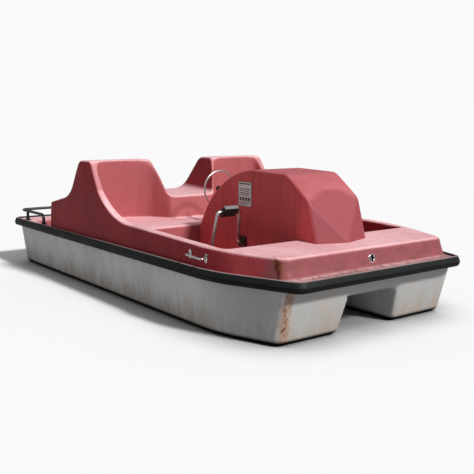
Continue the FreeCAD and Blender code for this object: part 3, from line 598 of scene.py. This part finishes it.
def make_info_plate():
    """A printed plate without words: border, heading, rows of bars and picture boxes."""
    (x0, y0, z0), (x1, y1, z1) = plate_low, plate_high
    border = 0.003
    verts, faces, marks = [], [], []
    rounded_bar(verts, faces, marks, (x0, y0 + 0.0005, z0), (x1, y1, z1), 0.006, 1)
    rounded_bar(verts, faces, marks, (x0 + border, y0 + 0.0003, z0 + border),
                (x1 - border, y1 - 0.0005, z1 - border), 0.005, 0)

    def printed(left, right, bottom, top):
        rounded_bar(verts, faces, marks, (x0 + left, y0, z0 + bottom), (x0 + right, y0 + 0.0006, z0 + top),
                    0.0008, 1)
    printed(0.010, 0.120, 0.134, 0.142)
    for row in range(4):
        bottom = 0.104 - 0.012 * row
        printed(0.012, 0.118 - 0.014 * (row % 2), bottom, bottom + 0.0045)
    for k in range(4):
        left = 0.012 + 0.028 * k
        printed(left, left + 0.022, 0.034, 0.056)
    for row in range(2):
        bottom = 0.012 + 0.010 * row
        printed(0.012, 0.096 + 0.018 * row, bottom, bottom + 0.0040)
    plate = add_mesh("Info_Plate", verts, faces, smooth=False)
    for face, mark in zip(plate.data.polygons, marks):
        face.material_index = mark
    return plate


def make_bow_eye():
    """Bright turned ring round a cup coloured black: painted shade for the dark inside of the eye."""
    normal = (math.cos(EYE_LEAN), 0.0, math.sin(EYE_LEAN))
    ring = [(0.0190, -0.0260), (0.0190, -0.0010), (0.0250, -0.0008), (0.0250, 0.0012),
            (0.0241, 0.0028), (0.0222, 0.0038), (0.0200, 0.0039), (0.0180, 0.0030), (0.0167, 0.0012),
            (0.0162, -0.0020)]
    cup = [(0.0160, -0.0228), (0.0001, -0.0230)]
    # The cup takes the second, black finish: painted shade inside the eye.
    bands = [0] * (len(ring) - 1) + [1] * len(cup)
    return lathe("Bow_Eye", EYE, normal, ring + cup, bands)


# ---------------------------------------------------------------- materials
class Finish:
    """A node material, built up from noise, masks and mixes in the piece's own coordinates."""

    def __init__(self, name):
        self.material = bpy.data.materials.new(name)
        self.material.use_nodes = True
        self.tree = self.material.node_tree
        self.shader = self.tree.nodes["Principled BSDF"]
        coordinates = self.tree.nodes.new("ShaderNodeTexCoord")
        self.place = coordinates.outputs["Object"]
        self.axes = self.tree.nodes.new("ShaderNodeSeparateXYZ")
        self.facing = self.tree.nodes.new("ShaderNodeSeparateXYZ")
        self.tree.links.new(self.place, self.axes.inputs[0])
        self.tree.links.new(coordinates.outputs["Normal"], self.facing.inputs[0])

    def put(self, socket, value):
        """Links a socket, or sets the value on it."""
        if isinstance(value, bpy.types.NodeSocket):
            self.tree.links.new(value, socket)
        elif isinstance(value, tuple) and len(value) == 3 and socket.type == "RGBA":
            socket.default_value = (*value, 1.0)
        else:
            socket.default_value = value

    def at(self, axis, low, high):
        """0 to 1 as the place goes from low to high along an axis."""
        return self.ramp(self.axes.outputs[axis], low, high)

    def faces(self, axis, low, high):
        """0 to 1 as the surface turns from low to high towards an axis."""
        return self.ramp(self.facing.outputs[axis], low, high)

    def noise(self, size, stretch=(1, 1, 1), detail=4.0, rough=0.55, warp=0.0):
        """Noise of about this size in metres, drawn out along the axes by stretch."""
        mapping = self.tree.nodes.new("ShaderNodeMapping")
        mapping.inputs["Scale"].default_value = tuple(1.0 / (size * k) for k in stretch)
        self.tree.links.new(self.place, mapping.inputs["Vector"])
        node = self.tree.nodes.new("ShaderNodeTexNoise")
        node.inputs["Scale"].default_value = 1.0
        node.inputs["Detail"].default_value = detail
        node.inputs["Roughness"].default_value = rough
        node.inputs["Distortion"].default_value = warp
        self.tree.links.new(mapping.outputs[0], node.inputs["Vector"])
        return node.outputs["Fac"]

    def ramp(self, value, low, high, to_low=0.0, to_high=1.0):
        """A soft step from to_low to to_high as the value goes from low to high."""
        node = self.tree.nodes.new("ShaderNodeMapRange")
        node.interpolation_type = "SMOOTHSTEP"
        limits = {"From Min": low, "From Max": high, "To Min": to_low, "To Max": to_high}
        for name, number in limits.items():
            node.inputs[name].default_value = number
        self.put(node.inputs["Value"], value)
        return node.outputs["Result"]

    def maths(self, kind, a, b=0.0):
        node = self.tree.nodes.new("ShaderNodeMath")
        node.operation = kind
        self.put(node.inputs[0], a)
        self.put(node.inputs[1], b)
        return node.outputs[0]

    def plus(self, a, b):
        return self.maths("ADD", a, b)

    def minus(self, a, b):
        return self.maths("SUBTRACT", a, b)

    def times(self, *values):
        result = values[0]
        for value in values[1:]:
            result = self.maths("MULTIPLY", result, value)
        return result

    def mix(self, share, a, b):
        """Colour a with this share of colour b."""
        node = self.tree.nodes.new("ShaderNodeMix")
        node.data_type = "RGBA"
        self.put(node.inputs["Factor"], share)
        self.put(node.inputs[6], a)
        self.put(node.inputs[7], b)
        return node.outputs[2]

    def bump(self, *layers):
        """Layers of (height, strength, distance in metres)."""
        normal = None
        for height, strength, distance in layers:
            node = self.tree.nodes.new("ShaderNodeBump")
            node.inputs["Strength"].default_value = strength
            node.inputs["Distance"].default_value = distance
            self.put(node.inputs["Height"], height)
            if normal is not None:
                self.put(node.inputs["Normal"], normal)
            normal = node.outputs["Normal"]
        self.put(self.shader.inputs["Normal"], normal)

    def line_distance(self, low, high):
        """Plan distance from a leaning line, given at two heights as (x, y, z)."""
        rise = high[2] - low[2]
        above = self.minus(self.axes.outputs["Z"], low[2])
        parts = []
        for k, axis in ((0, "X"), (1, "Y")):
            on_line = self.plus(self.times(above, (high[k] - low[k]) / rise), low[k])
            off = self.minus(self.axes.outputs[axis], on_line)
            parts.append(self.times(off, off))
        return self.maths("SQRT", self.plus(parts[0], parts[1]))

    def finish(self, color, rough, metallic=0.0, specular=0.5):
        self.put(self.shader.inputs["Base Color"], color)
        self.put(self.shader.inputs["Roughness"], rough)
        self.put(self.shader.inputs["Metallic"], metallic)
        self.put(self.shader.inputs["Specular IOR Level"], specular)
        return self.material

    def camera_sees(self, shader, output):
        """Camera rays get another shader than the light that bounces around the scene."""
        path = self.tree.nodes.new("ShaderNodeLightPath")
        choose = self.tree.nodes.new("ShaderNodeMixShader")
        self.put(choose.inputs[0], path.outputs["Is Camera Ray"])
        self.put(choose.inputs[1], self.shader.outputs[0])
        self.put(choose.inputs[2], shader.outputs[0])
        self.put(self.tree.nodes[output].inputs[0], choose.outputs[0])


def brow_highlight(f):
    """Painted highlight along the edge that runs down from the housing's starboard brow to its tip."""
    across = f.times(f.axes.outputs["Y"], -1.0)
    below = f.minus(0.679, f.axes.outputs["Z"])
    off = f.maths("ABSOLUTE", f.plus(f.minus(across, 0.198), f.times(below, 0.884)))
    wander = f.noise(0.020, detail=5, rough=0.7)
    thin = f.ramp(f.plus(off, f.times(wander, 0.016)), 0.0180, 0.0080)
    return f.times(thin, f.at("X", 1.225, 1.245), f.ramp(below, -0.002, 0.004))


def red_gelcoat(name, deep_tone, forward_lit_tone, top_fade_and_light, top_fade_and_light_pale, wear_and_highlight=False):
    """Red laminate with a tone for each way a face looks, to paint its light: one tone for the faces that
    look neither forward nor up, another for the faces that look forward, and a pale one for the faces that
    look up, the last partly the real fading of old gelcoat and partly a painted highlight.
    """
    f = Finish(name)
    forward = f.faces("X", 0.10, 0.85)
    up = f.faces("Z", 0.30, 0.92)
    steep = f.minus(1.0, up)
    upright = f.times(steep, f.ramp(forward, 0.0, 1.0, 1.0, 0.45))
    blotch = f.noise(0.35, detail=5, warp=0.3)
    shade = tuple(0.80 * level for level in deep_tone)
    deep = f.mix(f.ramp(blotch, 0.35, 0.70), shade, deep_tone)
    # Forward faces get their own tone and the rest the deep tone: painted light and shade.
    color = f.mix(forward, deep, forward_lit_tone)
    # Faces that look up turn pale: partly real fading, partly painted highlight.
    color = f.mix(up, color, f.mix(f.ramp(blotch, 0.30, 0.75), top_fade_and_light, top_fade_and_light_pale))

    streak = f.noise(0.022, stretch=(1, 1, 24), detail=5, rough=0.6)
    color = f.mix(f.times(upright, f.ramp(streak, 0.46, 0.74), 0.30), color, (0.160, 0.018, 0.022))
    fine = f.noise(0.008, stretch=(1, 1, 14), detail=3)
    color = f.mix(f.times(upright, f.ramp(fine, 0.55, 0.80), 0.12), color, (0.400, 0.070, 0.080))
    scuff = f.noise(0.045, stretch=(1.6, 0.8, 1), detail=7, rough=0.75, warp=0.4)
    color = f.mix(f.times(up, f.ramp(scuff, 0.46, 0.66), 0.34), color, (0.500, 0.200, 0.205))
    speck = f.noise(0.006, detail=2)
    grime = f.noise(0.055, detail=6, rough=0.7)
    specks = f.times(f.ramp(grime, 0.60, 0.74), f.ramp(speck, 0.45, 0.65), 0.35)
    color = f.mix(specks, color, (0.230, 0.130, 0.105))

    bow = f.times(f.at("X", 1.40, 1.46), steep)
    # The bow faces are darkened, in blotches.
    bow_blotch = f.noise(0.09, stretch=(1, 1, 0.6), detail=6, rough=0.65, warp=0.3)
    color = f.mix(f.times(bow, f.ramp(bow_blotch, 0.25, 0.62, 0.60, 0.90)), color, (0.240, 0.072, 0.080))
    stain = f.times(bow, f.ramp(bow_blotch, 0.50, 0.70), f.ramp(speck, 0.30, 0.60, 0.3, 1.0), 0.62)
    color = f.mix(stain, color, (0.160, 0.075, 0.055))
    bow_lip = f.times(f.at("Z", 0.356, 0.349), f.at("X", 1.38, 1.44), f.ramp(grime, 0.40, 0.62, 0.45, 0.95))
    color = f.mix(bow_lip, color, (0.250, 0.130, 0.120))

    corner = f.line_distance(*DECK_CORNER)
    on_side = f.at("Z", 0.470, 0.440)
    wander = f.noise(0.045, stretch=(1, 1, 3), detail=5, warp=0.6)
    crack = f.times(f.ramp(f.plus(corner, f.times(wander, 0.05)), 0.050, 0.036), on_side)
    color = f.mix(f.times(crack, 0.90), color, (0.060, 0.010, 0.006))
    rust = f.times(f.ramp(corner, 0.16, 0.02), f.ramp(grime, 0.50, 0.64), on_side, 0.7)
    color = f.mix(rust, color, (0.235, 0.085, 0.040))
    # Painted highlight along the housing's brow-to-tip ridge.
    if wear_and_highlight:
        color = f.mix(f.times(brow_highlight(f), 0.16), color, (0.600, 0.240, 0.255))

    rough = f.ramp(f.plus(grime, f.times(up, 0.35)), 0.30, 1.00, 0.40, 0.62)
    f.bump((f.noise(0.20, detail=2), 0.20, 0.003), (f.noise(0.0035, detail=2), 0.08, 0.0006))
    return f.finish(color, rough, specular=0.10)


def white_gelcoat():
    """White laminate: streaked below the rail, muddy low down, chipped at the bow corner; painted shade on
    its forward faces, its downward faces and its sides towards the bow, and a painted contact shadow in
    near black along the bottom.
    """
    f = Finish("Gelcoat_White")
    blotch = f.noise(0.22, detail=4)
    color = f.mix(f.ramp(blotch, 0.30, 0.70), (0.610, 0.635, 0.655), (0.680, 0.695, 0.700))
    # Forward faces painted a darker grey: painted shade.
    color = f.mix(f.faces("X", 0.30, 0.90), color, (0.420, 0.415, 0.405))

    streak = f.noise(0.040, stretch=(1, 1, 14), detail=6, rough=0.62)
    color = f.mix(f.times(f.ramp(streak, 0.44, 0.68), 0.26), color, (0.430, 0.470, 0.500))
    rusty = f.noise(0.050, stretch=(1.8, 1.8, 6), detail=7, rough=0.70, warp=0.35)
    low = f.at("Z", 0.24, 0.0)
    stain = f.ramp(f.plus(rusty, f.times(low, 0.10)), 0.50, 0.70)
    color = f.mix(f.times(stain, 0.32), color, (0.520, 0.370, 0.270))
    fine = f.noise(0.012, stretch=(1, 1, 16), detail=3)
    color = f.mix(f.times(f.ramp(fine, 0.52, 0.80), 0.20), color, (0.330, 0.330, 0.325))
    low = f.maths("MAXIMUM", low, f.at("Z", 0.12, 0.03))
    mud = f.times(low, f.ramp(f.plus(rusty, f.times(low, 0.22)), 0.36, 0.80), 0.52)
    color = f.mix(mud, color, (0.300, 0.225, 0.165))
    # Downward faces painted darker: painted shade.
    color = f.mix(f.times(f.faces("Z", -0.3, -0.9), 0.6), color, (0.300, 0.280, 0.250))

    corner = f.line_distance(*HULL_CORNER)
    chips = f.noise(0.016, stretch=(1, 1, 2.2), detail=6, rough=0.75, warp=0.8)
    band = f.noise(0.050, stretch=(1, 1, 3), detail=4)
    edge = f.ramp(f.plus(corner, f.times(band, 0.05)), 0.064, 0.044)
    color = f.mix(f.times(edge, f.ramp(chips, 0.36, 0.50), 0.92), color, (0.380, 0.215, 0.140))
    color = f.mix(f.times(edge, f.ramp(chips, 0.54, 0.60), 0.90), color, (0.100, 0.050, 0.032))
    # The sides towards the bow painted darker: painted shade.
    bow_side_shade = f.times(f.at("X", 0.85, 1.40), f.faces("X", 0.55, 0.35))
    color = f.mix(f.times(bow_side_shade, 0.60), color, (0.250, 0.255, 0.260))
    # A near-black band along the bottom: painted contact shadow.
    color = f.mix(f.at("Z", 0.040, 0.016), color, (0.002, 0.002, 0.002))

    rough = f.ramp(f.plus(rusty, mud), 0.30, 0.90, 0.40, 0.66)
    f.bump((f.noise(0.25, detail=2), 0.25, 0.004), (f.times(edge, chips), 0.35, 0.002))
    # The specular fades out at the bottom as well, so the painted contact shadow stays black.
    return f.finish(color, rough, specular=f.ramp(f.axes.outputs["Z"], 0.015, 0.050, 0.0, 0.20))


def black_rubber():
    """Rail rubber: the upper half of its section painted lighter, a painted highlight mottled with dirt,
    and its flat top painted pale pink-grey, a painted highlight that stands in for the lit lip above the
    rail.
    """
    f = Finish("Rubber")
    dirt = f.noise(0.08, stretch=(3, 3, 1), detail=6, rough=0.65)
    color = f.mix(f.ramp(dirt, 0.40, 0.70), (0.003, 0.003, 0.0035), (0.006, 0.006, 0.0065))
    # Upper half of the section painted lighter: painted highlight, mottled by the dirt noise.
    upper_highlight_and_dust = f.times(f.at("Z", 0.3245, 0.3275), f.ramp(dirt, 0.15, 0.65, 0.65, 1.0))
    color = f.mix(upper_highlight_and_dust, color, (0.013, 0.015, 0.015))
    # Flat top painted pale pink-grey: painted highlight standing in for the lit lip above the rail.
    flat = f.times(f.faces("Z", 0.80, 0.95), f.ramp(dirt, 0.15, 0.65, 0.6, 1.0))
    color = f.mix(flat, color, (0.330, 0.265, 0.262))
    f.bump((f.noise(0.0025, detail=3), 0.20, 0.0006))
    return f.finish(color, f.ramp(dirt, 0.3, 0.7, 0.42, 0.58), specular=0.15)


def metal(name, color, wear_and_highlight, rough, rough_worn, size=0.03):
    """Bare or plated metal with duller patches of about this size."""
    f = Finish(name)
    wear = f.noise(size, detail=6, rough=0.7)
    scratches = f.noise(0.004, stretch=(1, 1, 9), detail=3)
    shade = f.mix(f.ramp(wear, 0.45, 0.75), color, wear_and_highlight)
    f.bump((scratches, 0.12, 0.0003))
    return f.finish(shade, f.ramp(wear, 0.35, 0.75, rough, rough_worn), metallic=1.0)


def plastic(name, color, scuffed, rough=0.40):
    """Moulded plastic or paint with scuffed patches."""
    f = Finish(name)
    scuff = f.noise(0.02, detail=6, rough=0.7)
    shade = f.mix(f.ramp(scuff, 0.48, 0.74), color, scuffed)
    f.bump((f.noise(0.0012, detail=2), 0.15, 0.0004))
    return f.finish(shade, f.ramp(scuff, 0.35, 0.75, rough, rough + 0.2))


def pedal_plastic():
    """Black plastic with pale scuffed patches; its upward faces painted light grey, a painted highlight
    mottled by the scuffs.
    """
    f = Finish("Pedal_Plastic")
    scuff = f.noise(0.012, detail=6, rough=0.7)
    color = f.mix(f.ramp(scuff, 0.48, 0.74), (0.012, 0.012, 0.013), (0.050, 0.050, 0.050))
    # Upward faces painted light grey: painted highlight, mottled by the scuff noise.
    top_highlight_and_scuff = f.times(f.faces("Z", 0.45, 0.75), f.ramp(scuff, 0.25, 0.60, 0.6, 1.0))
    color = f.mix(top_highlight_and_scuff, color, (0.230, 0.232, 0.230))
    f.bump((f.noise(0.004, stretch=(6, 1, 6), detail=2), 0.30, 0.001))
    return f.finish(color, f.ramp(scuff, 0.35, 0.75, 0.42, 0.62))


def foam_block():
    """Pale foam with fine open cells."""
    f = Finish("Foam")
    cells = f.noise(0.004, detail=3)
    shade = f.mix(f.ramp(cells, 0.35, 0.65), (0.62, 0.60, 0.55), (0.78, 0.76, 0.70))
    f.bump((cells, 0.5, 0.002))
    return f.finish(shade, f.ramp(cells, 0.3, 0.7, 0.75, 0.95))


RED = red_gelcoat("Gelcoat_Red", deep_tone=(0.360, 0.032, 0.040), forward_lit_tone=(0.420, 0.112, 0.118),
                  top_fade_and_light=(0.820, 0.440, 0.465), top_fade_and_light_pale=(0.910, 0.560, 0.585))
# The housing's own copy of the red gelcoat, its tones set apart from the deck's to paint its light: its
# sides painted much lighter, its forward and upward faces darker.
HOUSING_RED = red_gelcoat("Gelcoat_Red_Housing", deep_tone=(0.760, 0.120, 0.130),
                          forward_lit_tone=(0.290, 0.062, 0.075), top_fade_and_light=(0.450, 0.112, 0.125),
                          top_fade_and_light_pale=(0.540, 0.160, 0.175), wear_and_highlight=True)
WHITE = white_gelcoat()
RUBBER = black_rubber()
RAIL = plastic("Rail_Coating", (0.012, 0.013, 0.013), (0.045, 0.047, 0.046), rough=0.30)
CHROME = metal("Chrome", (0.80, 0.80, 0.81), (0.55, 0.54, 0.52), 0.08, 0.28)
BRIGHT = metal("Bright_Steel", (0.74, 0.72, 0.70), (0.62, 0.57, 0.54), 0.26, 0.40)
FASTENER = metal("Fastener_Steel", (0.42, 0.41, 0.40), (0.24, 0.19, 0.15), 0.32, 0.55, size=0.006)
DARK_SCREW = metal("Dark_Screw", (0.030, 0.030, 0.031), (0.060, 0.050, 0.045), 0.40, 0.6, size=0.006)
BLACK = plastic("Black_Plastic", (0.010, 0.010, 0.011), (0.050, 0.050, 0.050))
PEDAL = pedal_plastic()
ALLOY = metal("Wheel_Alloy", (0.52, 0.53, 0.54), (0.33, 0.33, 0.33), 0.35, 0.6, size=0.05)
CABLE = metal("Cable_Steel", (0.45, 0.44, 0.43), (0.25, 0.22, 0.20), 0.35, 0.5, size=0.004)
PLATE = plastic("Plate_Face", (0.78, 0.77, 0.75), (0.50, 0.48, 0.45), rough=0.35)
INK = plastic("Plate_Print", (0.10, 0.10, 0.10), (0.16, 0.155, 0.15), rough=0.5)
FOAM = foam_block()

SLOT_FINISH = {
    "gelcoat_white": WHITE, "gelcoat_red": RED, "rail_rubber": RUBBER, "rail_tube": RAIL, "chrome": CHROME,
    "bright_steel": BRIGHT, "fastener_steel": FASTENER, "black_plastic": BLACK, "pedal_plastic": PEDAL,
    "plate": PLATE, "foam": FOAM, "wheel_alloy": ALLOY, "cable_steel": CABLE,
}
DARK_NODES = {"rub_rail_screws": DARK_SCREW, "steering_wheel_spider": DARK_SCREW}


# ---------------------------------------------------------------- camera, light and floor
def make_camera():
    data = bpy.data.cameras.new("Camera")
    data.sensor_width = 36.0
    data.lens = 55.23
    data.clip_end = 100.0
    camera = bpy.data.objects.new("Camera", data)
    camera.location = (4.168, -2.872, 1.094)
    camera.rotation_euler = (math.radians(81.28), 0.0, math.radians(53.16))
    bpy.context.scene.collection.objects.link(camera)
    bpy.context.scene.camera = camera


def make_key_light():
    """One soft key, high over the bow."""
    data = bpy.data.lights.new("Key", "SUN")
    data.energy = 3.4
    data.angle = math.radians(7)
    light = bpy.data.objects.new("Key", data)
    light.location = (3.0, 0.6, 2.4)
    light.rotation_euler = (-light.location).to_track_quat("-Z", "Y").to_euler()
    bpy.context.scene.collection.objects.link(light)


def make_studio():
    """Even white surroundings, dimmer as a lamp than they look behind the boat."""
    world = bpy.data.worlds.new("Studio")
    bpy.context.scene.world = world
    bpy.context.scene.view_settings.view_transform = "Standard"
    world.use_nodes = True
    tree = world.node_tree
    lamp = tree.nodes["Background"]
    lamp.inputs["Color"].default_value = (1.0, 1.0, 1.0, 1.0)
    lamp.inputs["Strength"].default_value = 0.30
    seen = tree.nodes.new("ShaderNodeBackground")
    seen.inputs["Color"].default_value = (0.95, 0.95, 0.95, 1.0)
    path = tree.nodes.new("ShaderNodeLightPath")
    choose = tree.nodes.new("ShaderNodeMixShader")
    tree.links.new(path.outputs["Is Camera Ray"], choose.inputs[0])
    tree.links.new(lamp.outputs[0], choose.inputs[1])
    tree.links.new(seen.outputs[0], choose.inputs[2])
    tree.links.new(choose.outputs[0], tree.nodes["World Output"].inputs[0])


def make_floor():
    """Pale floor: it looks white, bounces half the light, and has a shadow painted in close to the hulls.
    """
    reach = 40.0
    corners = [(-reach, -reach, 0), (reach, -reach, 0), (reach, reach, 0), (-reach, reach, 0)]
    floor = add_mesh("Floor", corners, [(0, 1, 2, 3)], smooth=False)
    floor.location.z = cad_low[2] - 0.0005
    f = Finish("Floor")
    haze = f.noise(2.5, detail=2)
    f.finish(f.mix(haze, (0.46, 0.46, 0.46), (0.50, 0.50, 0.50)), 0.9, specular=0.0)
    contact = f.tree.nodes.new("ShaderNodeAmbientOcclusion")
    contact.samples = 12
    contact.inputs["Distance"].default_value = 0.34
    pale = f.mix(haze, (0.98, 0.98, 0.98), (0.99, 0.99, 0.99))
    seen = f.tree.nodes.new("ShaderNodeBsdfDiffuse")
    # Ambient occlusion darkens the floor's seen colour near the hulls: a painted contact shadow.
    f.put(seen.inputs["Color"], f.mix(f.ramp(contact.outputs["AO"], 0.96, 0.12), pale, (0.24, 0.24, 0.24)))
    f.camera_sees(seen, "Material Output")
    floor.data.materials.append(f.material)


make_camera()
make_key_light()
make_studio()
make_floor()


# ---------------------------------------------------------------- putting it together
def join_frame(piece, material, slot, body, *nodes, extra=None):
    """Gives a piece its material, or two by its faces' marks, and its place in the frame."""
    marks = [face.material_index for face in piece.data.polygons]
    piece.data.materials.clear()
    piece.data.materials.append(material)
    if extra is not None:
        piece.data.materials.append(extra)
        piece.data.polygons.foreach_set("material_index", marks)
    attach(piece, body)
    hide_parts(*nodes)


for row in frame["record"]["subparts"]:
    node, slot = row["node"], row["material_slot"]
    shown = frame["nodes"][node].data.materials
    shown.clear()
    shown.append(DARK_NODES.get(node, SLOT_FINISH[slot]))

join_frame(make_hull(), WHITE, "gelcoat_white", "boat", "hull_shell")
join_frame(make_deck(), RED, "gelcoat_red", "boat", "deck_shell")
join_frame(make_housing(), HOUSING_RED, "gelcoat_red", "boat", "paddle_housing")
join_frame(make_rub_rail(), RUBBER, "rail_rubber", "boat", "rub_rail")
join_frame(make_info_plate(), PLATE, "plate", "boat", "info_plate", extra=INK)
join_frame(make_bow_eye(), CHROME, "chrome", "boat", "bow_eye", extra=BLACK)
